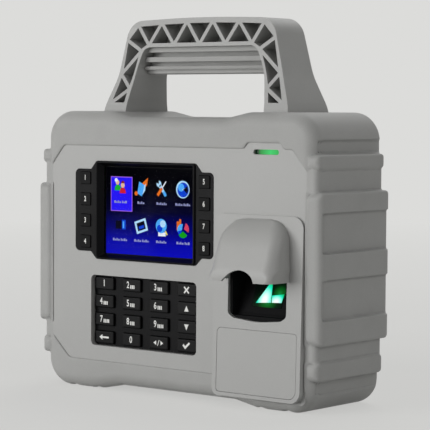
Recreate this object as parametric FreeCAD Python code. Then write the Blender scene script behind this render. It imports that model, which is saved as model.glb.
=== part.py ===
import FreeCAD, Part
import math
import os

# Portable fingerprint terminal. Millimetres, +X to the viewer's right, +Y to the rear, +Z up.
# The origin is on the resting plane, midway across the width and midway from the hood's lip to the rear.

# ---------------------------------------------------------------- driving dimensions
screen_margin = 19.1        # sleeve's window to the display frame's left wing
body_height = 169.8         # rubber sleeve, resting plane to top
body_depth = 66.0           # front plate face to the sleeve's rear
handle_rise = 56.6          # the handle's crown above the sleeve
hood_reach = 21.0           # finger hood, in front of the front plate
sleeve_side_wall = 4.0
sleeve_end_wall = 5.0
sleeve_corner_radius = 17.0
sleeve_front_radius = 8.0
sleeve_rear_radius = 5.0
sleeve_proud = 1.0          # sleeve lip, in front of the front plate
lip_thickness = 3.5
arch_rise = 3.5             # hollow under the body between its two feet
crown_dip = 3.3             # dip in the sleeve's top between the handle's legs
bumper_reach = 6.0          # side bumpers, beyond the sleeve
bumper_proud = 2.0          # side bumpers, in front of the front plate
bumper_bottom = 39.5
bumper_top = 125.2
pocket_depth = 2.2          # the sleeve's side pockets
plateau_reach = 2.0         # the sleeve's side between bumper and bands
plateau_height = 12.8
band_reach = 3.4
window_low = 18.0           # sleeve's front window, above the resting plane
window_top_margin = 20.9    # and below the sleeve's top
window_shoulder = 2.2       # the case's side beyond the window
case_wall = 2.6
plate_edge_wall = 2.0       # where the front plate steps out of the case
seal_thickness = 1.0
handle_span = 144.0         # across the legs at the case
leg_width = 18.0
handle_base_depth = 40.5
handle_top_depth = 26.0
handle_set_back = 4.0       # middle of the handle behind the middle of the case
handle_strut = 2.3          # thickness of the handle's zigzag
handle_web = 2.6            # the wall between the handle's front and rear pockets
beam_height = 17.7          # the handle's beam at its middle
grip_height = 16.2
grip_recess = 3.0           # its ribs, behind the handle's front and rear
screen_width = 70.1
screen_height = 52.6
bezel_border = 4.45         # display frame beyond the screen, left and right
bezel_end = 3.5             # display frame beyond the screen, above and below
wing_height = 50.0
left_wing = 17.4
right_wing = 13.3
glass_thickness = 1.2
key_width = 14.8
key_height = 7.6
key_pitch_x = 21.9
key_pitch_z = 11.0
key_travel = 0.8
key_proud = 1.6             # key tops, in front of the keypad's plate
keypad_side_margin = 1.85
keypad_end_margin = 1.25
keypad_offset = 0.6         # the keypad's right edge beyond the display's surround
keypad_depth = 3.6          # front plate face to the keypad's plate
keypad_plate_thickness = 1.5
fkey_width = 8.4
fkey_height = 7.4
fkey_pitch = 12.95
fkey_travel = 0.5
panel_width = 63.8          # sensor panel
panel_top_proud = 1.2
panel_low_proud = 4.2
panel_gap = 2.6             # between the display frame and the sensor panel
hood_width = 46.4
hood_wall = 2.0
hood_height = 35.1
hood_taper = 1.5            # each side, from its lower tips to its top
hood_shoulder = 12.0        # rounding of its top corners, seen from the front
well_depth = 19.0
well_wall = 1.8
glass_tilt = 24.0           # sensor glass, degrees from upright
sensor_glass_width = 22.0
sensor_glass_length = 23.0
sensor_glass_thickness = 2.6
hood_edge = 6.5             # rounding of the hood's front edges
thumb_arch_radius = 13.4
card_height = 37.0
lamp_length = 18.0
lamp_height = 2.6
lamp_recess = 1.8
lamp_inset = 27.9           # lamp's middle to the sensor panel's right edge
board_thickness = 1.6
battery_width = 104.0
battery_height = 68.0
battery_thickness = 20.0
door_thickness = 2.1
bay_width = 62.0            # port bay
bay_height = 28.0
bay_depth = 8.0
trunnion_radius = 1.4
trunnion_length = 2.0
barrel_radius = 2.0
speaker_radius = 14.0
case_screw_radius = 1.5
handle_screw_radius = 2.0
small_screw_radius = 1.0

# ---------------------------------------------------------------- clearances
fit_gap = 0.15              # between pieces that are pushed together
slide_gap = 0.25            # round a key in its hole
rest_gap = 0.1              # behind a key's stop flange
pin_gap = 0.05              # radial, round the flap's trunnions
flap_gap = 0.4              # round the port flap in its bay
lcd_gap = 0.05
panel_play = 0.4            # sensor panel to the side of the window

# ---------------------------------------------------------------- places worked out from them
bezel_half_w = screen_width / 2 + bezel_border
bezel_half_h = screen_height / 2 + bezel_end
display_width = left_wing + 2 * bezel_half_w + right_wing
window_half = (screen_margin + display_width + panel_gap + panel_width + panel_play) / 2
half_case = window_half + window_shoulder
half_body = half_case + sleeve_side_wall
overall_height = body_height + handle_rise

front_y = hood_reach - (hood_reach + body_depth) / 2
rear_y = front_y + body_depth
mid_y = (front_y + rear_y) / 2
case_front = front_y + lip_thickness - sleeve_proud
case_rear = rear_y - lip_thickness + sleeve_proud
panel_rear = rear_y - sleeve_proud
case_bottom = sleeve_end_wall
case_top = body_height - sleeve_end_wall
plate_back = front_y + case_wall + 0.2
parting_front = mid_y - seal_thickness / 2
parting_rear = mid_y + seal_thickness / 2
bumper_x = half_body + bumper_reach

window_high = body_height - window_top_margin

panel_right = window_half - panel_play
panel_left = panel_right - panel_width
panel_low = case_bottom + 1.6
panel_notch = 0.6           # sleeve's window beyond the panel

wing_right_x = panel_left - panel_gap
bezel_x = wing_right_x - right_wing - bezel_half_w
bezel_z = window_high - 9.3 - bezel_half_h
wing_left_x = bezel_x - bezel_half_w - left_wing
wing_low = bezel_z - wing_height / 2 - 0.3
wing_high = wing_low + wing_height
panel_high = bezel_z + 1.7

keypad_width = 3 * key_pitch_x + key_width + 2 * keypad_side_margin
keypad_height = 3 * key_pitch_z + key_height + 2 * keypad_end_margin
keypad_right = bezel_x + bezel_half_w + keypad_offset
keypad_left = keypad_right - keypad_width
keypad_high = bezel_z - bezel_half_h - 9.9
keypad_low = keypad_high - keypad_height

sensor_x = (panel_left + panel_right) / 2
hood_high = panel_high - 1.9
hood_low = hood_high - hood_height
cavity_half = hood_width / 2 - hood_wall
cavity_high = hood_high - 11.6
cavity_low = hood_low - 23.5
card_left = panel_left + 3.2
card_right = panel_right - 3.0
card_low = panel_low + 2.2
card_high = card_low + card_height
well_back = front_y + well_depth
slope_y = front_y + 10.6    # middle of the well's sloping wall
slope_z = cavity_low + 18.0

lamp_x = panel_right - lamp_inset
lamp_z = window_high - 1.6

board_y = front_y + 9.0     # front board's front face
glass_y = front_y + 2.5
frame_front = front_y - 1.5
wing_front = front_y - 0.4
flange_back = plate_back + 1.5
switch_front = board_y - 1.6
plate_front = front_y + keypad_depth
plate_rear = plate_front + keypad_plate_thickness
mat_front = board_y - 0.7

leg_outer = handle_span / 2
leg_inner = leg_outer - leg_width
beam_under = overall_height - beam_height
handle_foot = case_top + 9.2    # top of each leg's solid foot
handle_screw_depth = 7.0
handle_y = mid_y + handle_set_back

boss_radius = 3.6
screw_seat = case_rear - 5.0
screw_tip = front_y + 14.0
screw_x = window_half - 11.3
screw_rows = (window_low + 6, cavity_high + 6.1, window_high - 3.9)
screw_spots = [(s * screw_x, z) for z in screw_rows for s in (-1, 1)]
bay_half = bay_width / 2
bay_low = window_low + 2.4
bay_high = bay_low + bay_height
bay_floor = case_rear - bay_depth
bay_wall = 2.0
door_half_w = battery_width / 2 + 6
door_low = bay_high + 19.6
door_high = door_low + battery_height + 12
battery_low = door_low + 6
battery_front = case_rear - 5.0 - battery_thickness
flap_axis_y = panel_rear - 2.2
flap_axis_z = bay_high - barrel_radius - flap_gap
speaker_x = -half_case + 32
speaker_z = bay_high + 3.6
main_board_y = battery_front
main_board_rear = main_board_y + board_thickness
port_z = bay_low + 12.6
rj45_x = -18.0
usb_x = 4.0
dc_x = 21.0


# ---------------------------------------------------------------- shape helpers
def vec(u, v, axis, a):
    """The point on the plane at a along axis; u and v are its other two coordinates, in X, Y, Z order."""
    if axis == "x":
        return FreeCAD.Vector(a, u, v)
    if axis == "y":
        return FreeCAD.Vector(u, a, v)
    return FreeCAD.Vector(u, v, a)


def rounded_corner(before, here, after, radius):
    """Start, middle and end of the arc that rounds the corner here."""
    ax, ay = before[0] - here[0], before[1] - here[1]
    bx, by = after[0] - here[0], after[1] - here[1]
    la, lb = math.hypot(ax, ay), math.hypot(bx, by)
    ax, ay, bx, by = ax / la, ay / la, bx / lb, by / lb
    half = math.acos(max(-1.0, min(1.0, ax * bx + ay * by))) / 2
    reach = radius / math.tan(half)
    inward = radius / math.sin(half) - radius
    mx, my = ax + bx, ay + by
    length = math.hypot(mx, my)
    start = (here[0] + ax * reach, here[1] + ay * reach)
    middle = (here[0] + mx / length * inward, here[1] + my / length * inward)
    end = (here[0] + bx * reach, here[1] + by * reach)
    return start, middle, end


def outline(corners, axis, a):
    """Closed wire through corners (u, v) or (u, v, radius)."""
    cuts = []
    for i, corner in enumerate(corners):
        if len(corner) < 3 or corner[2] <= 0:
            cuts.append((corner[:2], None, corner[:2]))
        else:
            cuts.append(rounded_corner(corners[i - 1], corner, corners[(i + 1) % len(corners)], corner[2]))
    edges = []
    for i, (start, middle, end) in enumerate(cuts):
        if middle is not None:
            edges.append(Part.Arc(vec(*start, axis, a), vec(*middle, axis, a), vec(*end, axis, a)).toShape())
        following = cuts[(i + 1) % len(cuts)][0]
        if math.hypot(following[0] - end[0], following[1] - end[1]) > 1e-6:
            edges.append(Part.makeLine(vec(*end, axis, a), vec(*following, axis, a)))
    return Part.Wire(edges)


def prism(corners, axis, start, end):
    """Solid between start and end along axis, with that outline."""
    return Part.Face(outline(corners, axis, start)).extrude(vec(0, 0, axis, end - start))


def grown_prism(corners, gap, start, end):
    """As prism along Y, with the outline offset outwards by gap."""
    face = Part.Face(outline(corners, "y", start).makeOffset2D(gap))
    return face.extrude(FreeCAD.Vector(0, end - start, 0))


def rect(u0, u1, v0, v1, radius=0.0):
    return [(u0, v0, radius), (u1, v0, radius), (u1, v1, radius), (u0, v1, radius)]


def centred(u, v, half_u, half_v, radius=0.0):
    return rect(u - half_u, u + half_u, v - half_v, v + half_v, radius)


def block(x0, x1, y0, y1, z0, z1):
    return Part.makeBox(x1 - x0, y1 - y0, z1 - z0, FreeCAD.Vector(x0, y0, z0))


def rod(radius, start, end):
    """Cylinder from point start to point end."""
    a, b = FreeCAD.Vector(*start), FreeCAD.Vector(*end)
    return Part.makeCylinder(radius, (b - a).Length, a, b - a)


def rod_y(radius, x, z, y0, y1):
    return rod(radius, (x, y0, z), (x, y1, z))


def mirrored(shape):
    return shape.mirror(FreeCAD.Vector(0, 0, 0), FreeCAD.Vector(1, 0, 0))


def both_sides(shapes):
    return shapes + [mirrored(s) for s in shapes]


def flipped(corners):
    """The outline's corners mirrored in u, in the opposite order."""
    return [(-c[0],) + tuple(c[1:]) for c in reversed(corners)]


def near(a, b):
    return abs(a - b) < 1e-4


def edges_where(shape, test):
    """Edges whose ends and middle all pass test."""
    found = []
    for edge in shape.Edges:
        middle = edge.valueAt((edge.FirstParameter + edge.LastParameter) / 2)
        if all(test(p) for p in [v.Point for v in edge.Vertexes] + [middle]):
            found.append(edge)
    return found


def front_rounded(shape, y, radius):
    """Rounds the edges that lie in the plane at y."""
    return shape.makeFillet(radius, edges_where(shape, lambda p: near(p.y, y)))


def save(name, shape):
    """One node: one STEP file of closed solids."""
    solids = shape.Solids if isinstance(shape, Part.Shape) else [s for piece in shape for s in piece.Solids]
    for solid in solids:
        assert solid.isValid() and solid.Volume > 0, name
    whole = solids[0] if len(solids) == 1 else Part.makeCompound(solids)
    whole.exportStep(f"parts/{name}.step")
    print(name, len(solids), round(whole.Volume / 1000, 2), "cm3")


# ---------------------------------------------------------------- outlines seen from the front
def sleeve_outline():
    half, high, r, gentle = half_body, body_height, sleeve_corner_radius, 24.0
    foot = half - 42
    return [
        (-half, 0, r), (-foot, 0, gentle), (-foot + 18, arch_rise, gentle), (foot - 18, arch_rise, gentle),
        (foot, 0, gentle), (half, 0, r), (half, high, r), (leg_inner - 1, high, gentle),
        (leg_inner - 17, high - crown_dip, gentle), (-leg_inner + 17, high - crown_dip, gentle),
        (-leg_inner + 1, high, gentle), (-half, high, r),
    ]


def case_outline():
    return rect(-half_case, half_case, case_bottom, case_top, sleeve_corner_radius - sleeve_side_wall)


def front_window():
    """The sleeve's front opening: cut-off corners, a bump over the lamp, a notch for the sensor panel."""
    half, low, high = window_half, window_low, window_high
    bump = high + 3.6
    left, floor = panel_left - panel_notch, panel_low - panel_notch
    return [
        (-half + 14, low, 6), (left, low, 1.5), (left, floor, 2.5), (half, floor, 2.5), (half, high - 11, 5),
        (half - 9.5, high, 4), (lamp_x + 13, high, 2), (lamp_x + 10, bump, 2), (lamp_x - 13, bump, 2),
        (lamp_x - 16, high, 2), (-half + 9.5, high, 4), (-half, high - 11, 5), (-half, low + 13, 6),
    ]


def rear_window():
    return rect(-half_case + 9, half_case - 9, case_bottom + 9, case_top - 9, 12)


# ---------------------------------------------------------------- rubber sleeve
def side_band(z0, z1, reach, y0, inner_radius, end_radius):
    """One raised band round the sleeve's right front corner and along its side."""
    inner, outer = window_half + 0.2, half_body + reach
    y1 = rear_y - (0 if reach == bumper_reach else 2)
    seen = [(inner, z0, inner_radius), (outer, z0, 1.2), (outer, z1, 1.2), (inner, z1, inner_radius)]
    band = prism(seen, "y", y0, y1)
    ends = edges_where(band, lambda p: near(p.x, outer) and (near(p.y, y0) or near(p.y, y1)))
    return band.makeFillet(end_radius, ends)


def side_bands():
    """The bumper, a plateau above and below it level with the front plate, and a raised band beyond each."""
    lip = front_y - sleeve_proud
    low, high = bumper_bottom, bumper_top
    return [
        side_band(low, high, bumper_reach, front_y - bumper_proud, 5.0, 4.5),
        side_band(high - 4, high + 21, plateau_reach, front_y, 0.5, 3.6),
        side_band(high + plateau_height, high + 21, band_reach, lip, 1.5, 3.4),
        side_band(low - 11.5, low + 4, plateau_reach, front_y, 0.5, 3.6),
        side_band(low - 20, low - 9.5, band_reach, lip, 1.5, 4.2),
    ]


def plateau_cuts():
    """Lowers the sleeve's front lip to the plate's level between the bumper and the bands."""
    inner, outer, lip = window_half - 1, half_body + bumper_reach, front_y - 9
    return [
        block(inner, outer, lip, front_y, bumper_top, bumper_top + plateau_height),
        block(inner, outer, lip, front_y, bumper_bottom - 9.5, bumper_bottom),
    ]


def side_pockets():
    """Shallow pockets in the right side, rounded at their front end and open to the rear."""
    spots = [
        (bumper_x, bumper_top - 34.2, bumper_top - 11.2, 2.0),
        (bumper_x, bumper_bottom + 14, bumper_bottom + 36.9, 2.0),
        (half_body, bumper_top + 21.4, bumper_top + 29.2, 6.0),
        (half_body, bumper_bottom - 29, bumper_bottom - 20.4, 6.0),
    ]
    return [
        prism(rect(front_y + back, rear_y + 9, z0, z1, 2.6), "x", surface - pocket_depth, surface + 12)
        for surface, z0, z1, back in spots
    ]


def foot_grooves():
    """Two shallow grooves from front to rear under each foot."""
    return [rod(5.0, (x, front_y - 9, -3.4), (x, rear_y + 9, -3.4)) for x in (half_body - 40, half_body - 21)]


def rubber_armour():
    start = front_y - sleeve_proud
    ring = prism(sleeve_outline(), "y", start, rear_y)
    ring = front_rounded(ring, start, sleeve_front_radius)
    ring = front_rounded(ring, rear_y, sleeve_rear_radius)
    ring = ring.cut(both_sides(plateau_cuts())).fuse(both_sides(side_bands()))
    ring = ring.cut(both_sides(side_pockets() + foot_grooves()))
    inside = grown_prism(case_outline(), fit_gap, case_front - fit_gap, case_rear + fit_gap)
    front = prism(front_window(), "y", start - 9, case_front + fit_gap)
    rear = prism(rear_window(), "y", case_rear - fit_gap, rear_y + 9)
    half_foot = handle_base_depth / 2 + 0.4
    leg_hole = rect(leg_inner - 0.4, leg_outer + 0.4, handle_y - half_foot, handle_y + half_foot, 0.5)
    socket = prism(leg_hole, "z", case_top - 1, body_height + 9)
    return ring.cut([inside, front, rear] + both_sides([socket])).removeSplitter()


# ---------------------------------------------------------------- handle
def handle_inside():
    """Right half of the arch's inside, from the case to the beam."""
    base = case_top + rest_gap
    return [
        (leg_inner, base), (leg_inner - 0.6, base + 10, 30), (leg_inner - 4.5, base + 30, 50),
        (leg_inner - 10.5, beam_under, 7),
    ]


def handle_outline():
    """The arch seen from the front: over its outside, then back along its inside."""
    base, top = case_top + rest_gap, overall_height
    outside = [
        (leg_outer, base), (leg_outer - 1, base + 8, 30), (leg_outer - 8, base + 26, 60),
        (leg_outer - 16.5, top - 1.8, 13), (0, top, 900),
    ]
    inside = handle_inside()
    return outside + flipped(outside[:-1]) + [(-c[0],) + tuple(c[1:]) for c in inside] + inside[::-1]


def handle_side_view():
    """Splayed feet under an upright beam."""
    half_base, half_top = handle_base_depth / 2, handle_top_depth / 2
    rear = [
        (half_base, case_top), (half_base - 1, case_top + 7, 30), (half_top + 1.4, case_top + 27, 50),
        (half_top, overall_height + 2),
    ]
    return [(handle_y + c[0],) + tuple(c[1:]) for c in rear + flipped(rear)]


def handle_cells():
    """The handle's triangular pockets: the right half's cells, their mirror images and the middle one."""
    top, low = overall_height - 2.6, beam_under + 1.2
    crown = [(10, top), (30, top - 0.5), (leg_inner - 5, top - 1.4)]
    beam = [(0, low), (20, low), (leg_inner - 14.0, low)]
    outer = [(leg_outer - 14.2, top - 10.4), (leg_outer - 10.2, case_top + 27.7), (leg_outer - 4.2, handle_foot)]
    inner = [(leg_inner - 8.0, low - 3.4), (leg_inner - 0.7, case_top + 18.8), (leg_inner + 1.0, handle_foot)]
    cells = [
        [beam[0], crown[0], beam[1]], [crown[0], crown[1], beam[1]], [beam[1], crown[1], beam[2]],
        [crown[1], crown[2], beam[2]], [crown[2], outer[0], inner[0], beam[2]],
        [outer[0], outer[1], inner[0]], [inner[0], outer[1], inner[1]], [outer[1], outer[2], inner[1]],
        [inner[1], outer[2], inner[2]],
    ]
    middle = [(-crown[0][0], top), crown[0], beam[0]]
    return cells + [flipped(cell) for cell in cells] + [middle]


def handle_screw_spots():
    return [(s * (leg_outer + leg_inner) / 2, handle_y + t * 9.0) for s in (-1, 1) for t in (-1, 1)]


def handle_arch():
    body = prism(handle_outline(), "y", handle_y - handle_base_depth, handle_y + handle_base_depth)
    body = body.common(prism(handle_side_view(), "x", -leg_outer - 9, leg_outer + 9))
    tools = []
    for cell in handle_cells():
        for way in (-1, 1):
            start, end = handle_y + way * handle_web / 2, handle_y + way * handle_base_depth
            tools.append(grown_prism(cell, -handle_strut / 2, start, end))
    for x, y in handle_screw_spots():
        tools.append(rod(handle_screw_radius, (x, y, case_top - 1), (x, y, case_top + handle_screw_depth)))
    return body.cut(tools)


def handle_grip():
    """Ribbed liner under the beam, between the legs."""
    half, top = handle_top_depth / 2 - grip_recess, beam_under - fit_gap
    rear = [
        (half, top), (half, top - 3.6, 0.6), (half - 3.6, top - 3.6), (half - 3.6, top - 5.6),
        (half - 0.6, top - 5.6, 0.6), (half - 0.9, top - 9.4, 0.8), (half - 4.4, top - 9.4),
        (half - 4.4, top - 11.2), (half - 1.8, top - 11.2, 0.6), (half - 3.0, top - grip_height + 1.4, 1.8),
        (half - 7.5, top - grip_height, 3),
    ]
    section = [(handle_y + c[0],) + tuple(c[1:]) for c in rear + flipped(rear)]
    bar = prism(section, "x", -leg_outer, leg_outer)
    inside = handle_inside()
    between = [(-c[0],) + tuple(c[1:]) for c in inside] + inside[::-1]
    return bar.common(grown_prism(between, -fit_gap, handle_y - 30, handle_y + 30))


def handle_screws():
    """Pan-head screws from inside the case up into the legs."""
    seat = case_top - case_wall
    made = []
    for x, y in handle_screw_spots():
        shaft = rod(handle_screw_radius - fit_gap, (x, y, seat), (x, y, case_top + handle_screw_depth - 0.6))
        head = rod(2 * handle_screw_radius, (x, y, seat - 2.6), (x, y, seat))
        slot = block(x - 0.5, x + 0.5, y - 2.6, y + 2.6, seat - 3, seat - 1.4)
        made.append(head.fuse(shaft).cut(slot).removeSplitter())
    return made


# ---------------------------------------------------------------- openings in the front plate
def bezel_outline():
    """Display frame: a tall middle with a lower wing each side for the function keys."""
    left, right = bezel_x - bezel_half_w, bezel_x + bezel_half_w
    low, high, slant = bezel_z - bezel_half_h, bezel_z + bezel_half_h, 4.5
    return [
        (left, low, 2), (right, low, 2), (right + slant, wing_low, 2), (wing_right_x, wing_low, 3),
        (wing_right_x, wing_high, 3), (right + slant, wing_high, 2), (right, high, 2), (left, high, 2),
        (left - slant, wing_high, 2), (wing_left_x, wing_high, 3), (wing_left_x, wing_low, 3),
        (left - slant, wing_low, 2),
    ]


def keypad_outline():
    return rect(keypad_left, keypad_right, keypad_low, keypad_high, 3)


def cavity_outline():
    """Finger well seen from the front, with its bowed lower edge."""
    half, low, high = cavity_half, cavity_low, cavity_high
    return [
        (sensor_x - half, low + 3.5, 3), (sensor_x - half + 4, low + 1, 6), (sensor_x, low - 0.6, 60),
        (sensor_x + half - 4, low + 1, 6), (sensor_x + half, low + 3.5, 3), (sensor_x + half, high, 5),
        (sensor_x - half, high, 5),
    ]


def lamp_outline():
    return centred(lamp_x, lamp_z, lamp_length / 2, lamp_height / 2, 1.2)


def stand_spots():
    """Standoffs of the front board, clear of the display frame and the keypad."""
    left, right = wing_left_x + 4.1, keypad_right + 5.9
    low, high = wing_low - 5.6, wing_high + 9.4
    return [(left, low), (left, high), (right, low), (wing_right_x - 0.8, high)]


# ---------------------------------------------------------------- case
def shell_body(y0, y1):
    return prism(case_outline(), "y", y0, y1)


def handle_screw_holes(front):
    return [
        rod(handle_screw_radius + fit_gap, (x, y, case_top - 9), (x, y, case_top + 9))
        for x, y in handle_screw_spots() if (y < mid_y) == front
    ]


def front_shell():
    """Front half of the case; its plate stands out through the sleeve's window."""
    plate = grown_prism(front_window(), -fit_gap, front_y, case_front)
    body = shell_body(case_front, parting_front).fuse(plate)
    hollow = grown_prism(case_outline(), -case_wall, case_front + case_wall, mid_y)
    behind_plate = grown_prism(front_window(), -plate_edge_wall, plate_back, case_front + case_wall + 1)
    behind_plate = behind_plate.common(grown_prism(case_outline(), -case_wall, front_y, mid_y))
    body = body.cut([hollow, behind_plate])
    added = [grown_prism(keypad_outline(), 1.8, plate_back - 0.5, plate_front)]
    added += [rod_y(boss_radius, x, z, plate_back - 0.2, parting_front) for x, z in screw_spots]
    added += [rod_y(2.8, x, z, plate_back - 0.5, board_y) for x, z in stand_spots()]
    body = body.fuse(added)
    cuts = [
        grown_prism(bezel_outline(), fit_gap, front_y - 5, plate_back + 0.5),
        prism(keypad_outline(), "y", front_y - 5, board_y),
        grown_prism(cavity_outline(), 0.6, front_y - 5, board_y),
        grown_prism(lamp_outline(), fit_gap, front_y - 5, board_y),
    ]
    cuts += [rod_y(case_screw_radius, x, z, screw_tip - 1, mid_y) for x, z in screw_spots]
    cuts += [rod_y(small_screw_radius, x, z, board_y - 5, board_y + 1) for x, z in stand_spots()]
    return body.cut(cuts + handle_screw_holes(True)).removeSplitter()


def main_stands():
    return [(-76, window_low + 2), (76, window_low + 2), (76, bay_high + 15.6), (-30, bay_high + 15.6)]


def door_screw_spots():
    middle = (door_low + door_high) / 2
    return [(s * (door_half_w - 4.5), middle) for s in (-1, 1)]


def port_holes():
    """(x, half width, half height) of the holes in the port bay's floor."""
    return [(rj45_x, 8.2, 6.9), (usb_x, 7.4, 3.6), (dc_x, 5.1, 5.6)]


def speaker_slots():
    slots = []
    for i in range(-2, 3):
        x, reach = speaker_x + i * 4.0, 9.0 - abs(i) * 1.5
        slots.append(prism(centred(x, speaker_z, 0.8, reach, 0.7), "y", case_rear - 8, rear_y))
    return slots


def rear_shell():
    """Rear half of the case, with the battery's tub, the port bay, the speaker's ring and the screw posts."""
    plate = grown_prism(rear_window(), -fit_gap, case_rear, panel_rear)
    body = shell_body(parting_rear, case_rear).fuse(plate)
    body = body.cut(grown_prism(case_outline(), -case_wall, mid_y, case_rear - case_wall))
    half_b, wall, gap = battery_width / 2 + 0.6, 2.0, 0.6
    tub_low, tub_high, tub_front = battery_low - gap, battery_low + battery_height + gap, battery_front - 0.4
    ring = rod_y(speaker_radius + 2, speaker_x, speaker_z, case_rear - 8, case_rear - 1)
    added = [
        block(-half_b - wall, half_b + wall, tub_front - wall, case_rear - 1, tub_low - wall, tub_high + wall),
        block(
            -bay_half - 5, bay_half + 5, bay_floor - bay_wall, case_rear - 1,
            bay_low - bay_wall, bay_high + bay_wall,
        ),
        ring.cut(rod_y(speaker_radius + 0.2, speaker_x, speaker_z, mid_y, rear_y)),
    ]
    added += [rod_y(boss_radius, x, z, parting_rear, case_rear - 1) for x, z in screw_spots]
    added += [rod_y(3.0, x, z, main_board_rear, case_rear - 1) for x, z in main_stands()]
    body = body.fuse(added)
    cuts = [
        block(-half_b, half_b, tub_front, rear_y, tub_low, tub_high),
        block(-door_half_w, door_half_w, panel_rear - door_thickness - 0.1, rear_y, door_low, door_high),
        block(-bay_half, bay_half, bay_floor, rear_y, bay_low, bay_high),
    ]
    cuts += [block(x - w, x + w, bay_floor - 9, rear_y, port_z - h, port_z + h) for x, w, h in port_holes()]
    for x, z in screw_spots:
        cuts.append(rod_y(case_screw_radius + 0.2, x, z, mid_y, rear_y))
        cuts.append(rod_y(3.3, x, z, screw_seat, rear_y))
    cuts += [rod_y(small_screw_radius, x, z, main_board_y, main_board_y + 8) for x, z in main_stands()]
    cuts += [rod_y(small_screw_radius, x, z, panel_rear - 8, panel_rear) for x, z in door_screw_spots()]
    reach = bay_half - flap_gap + trunnion_length + 0.3
    cuts.append(
        rod(trunnion_radius + pin_gap, (-reach, flap_axis_y, flap_axis_z), (reach, flap_axis_y, flap_axis_z))
    )
    return body.cut(cuts + speaker_slots() + handle_screw_holes(False)).removeSplitter()


def case_seal():
    """Flat rubber ring clamped between the two shells."""
    outer = grown_prism(case_outline(), -0.4, parting_front, parting_rear)
    return outer.cut(grown_prism(case_outline(), -case_wall, parting_front - 1, parting_rear + 1))


def case_screws():
    """Long screws from the rear shell's recesses into the front shell's bosses."""
    made = []
    for x, z in screw_spots:
        shaft = rod_y(case_screw_radius - fit_gap, x, z, screw_tip, screw_seat)
        head = rod_y(2.9, x, z, screw_seat, screw_seat + 2)
        slots = ((1.6, 0.3), (0.3, 1.6))
        cross = [prism(centred(x, z, w, h), "y", screw_seat + 1, screw_seat + 3) for w, h in slots]
        made.append(head.fuse(shaft).cut(cross).removeSplitter())
    return made


# ---------------------------------------------------------------- display
def fkey_spots():
    """(name, x, z) of the eight function keys, down the left wing and then down the right one."""
    columns = (wing_left_x + left_wing / 2, wing_right_x - right_wing / 2 + 0.2)
    top = bezel_z + 1.5 * fkey_pitch - 0.1
    return [
        (f"function_key_{4 * column + row + 1}", x, top - row * fkey_pitch)
        for column, x in enumerate(columns) for row in range(4)
    ]


def fkey_outline(x, z, gap):
    return centred(x, z, fkey_width / 2 + gap, fkey_height / 2 + gap, 0.8)


def display_bezel():
    """Black frame: a raised surround with a bevel down to the glass, wings with key holes, a flange behind."""
    wings = prism(bezel_outline(), "y", wing_front, plate_back)
    surround = prism(centred(bezel_x, bezel_z, bezel_half_w, bezel_half_h, 2), "y", frame_front, plate_back)
    surround = front_rounded(surround, frame_front, 0.9)
    flange = grown_prism(bezel_outline(), 1.6, plate_back, flange_back)
    rim = outline(centred(bezel_x, bezel_z, bezel_half_w - 1.2, bezel_half_h - 1, 1), "y", frame_front - 0.001)
    sill = outline(centred(bezel_x, bezel_z, screen_width / 2 + 0.5, screen_height / 2 + 0.5, 1), "y", glass_y)
    pocket = centred(bezel_x, bezel_z, screen_width / 2 + 3.15, screen_height / 2 + 2.8)
    cuts = [Part.makeLoft([rim, sill], True, True), prism(pocket, "y", glass_y, flange_back + 1)]
    cuts += [prism(fkey_outline(x, z, slide_gap), "y", frame_front - 5, board_y) for _, x, z in fkey_spots()]
    return wings.fuse([surround, flange]).cut(cuts).removeSplitter()


def display_glass():
    pane = centred(bezel_x, bezel_z, screen_width / 2 + 3.0, screen_height / 2 + 2.65, 0.5)
    return prism(pane, "y", glass_y, glass_y + glass_thickness)


def lcd_module():
    """Display cell in its metal tray."""
    tray = centred(bezel_x, bezel_z, screen_width / 2 + 1.5, screen_height / 2 + 5.6, 1)
    cell = centred(bezel_x, bezel_z, screen_width / 2 + 0.6, screen_height / 2 + 1.2, 0.5)
    body = prism(tray, "y", flange_back + lcd_gap, board_y - 0.4)
    return body.fuse(prism(cell, "y", glass_y + glass_thickness + lcd_gap, flange_back + 1)).removeSplitter()


def function_key(x, z):
    """Flat cap, stop flange behind the bezel, stem to its switch."""
    top, stop = wing_front - 0.7, flange_back + rest_gap
    cap = front_rounded(prism(fkey_outline(x, z, 0), "y", top, stop + 0.5), top, 0.3)
    flange = prism(fkey_outline(x, z, 0.8), "y", stop, stop + 0.9)
    stem = rod_y(1.5, x, z, stop + 0.5, switch_front - fkey_travel - rest_gap)
    return cap.fuse([flange, stem]).removeSplitter()


def function_key_switches():
    made = []
    for _, x, z in fkey_spots():
        body = prism(centred(x, z, 2.6, 2.6, 0.4), "y", board_y - 1.2, board_y)
        made.append(body.fuse(rod_y(1.2, x, z, switch_front, board_y - 1)).removeSplitter())
    return made


# ---------------------------------------------------------------- keypad
keypad_names = [
    ["key_1", "key_2", "key_3", "key_cancel"], ["key_4", "key_5", "key_6", "key_up"],
    ["key_7", "key_8", "key_9", "key_down"], ["key_erase", "key_0", "key_shift", "key_enter"],
]


def key_spots():
    """(name, x, z) of the sixteen keypad keys."""
    cx, cz = (keypad_left + keypad_right) / 2, (keypad_low + keypad_high) / 2
    return [
        (name, cx + (column - 1.5) * key_pitch_x, cz + (1.5 - row) * key_pitch_z)
        for row, names in enumerate(keypad_names) for column, name in enumerate(names)
    ]


def key_outline(x, z, gap):
    return centred(x, z, key_width / 2 + gap, key_height / 2 + gap, 0.9)


def keypad_plate():
    plate = grown_prism(keypad_outline(), 1.7, plate_front, plate_rear)
    holes = [
        prism(key_outline(x, z, slide_gap), "y", plate_front - 1, plate_rear + 1) for _, x, z in key_spots()
    ]
    return plate.cut(holes)


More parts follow.
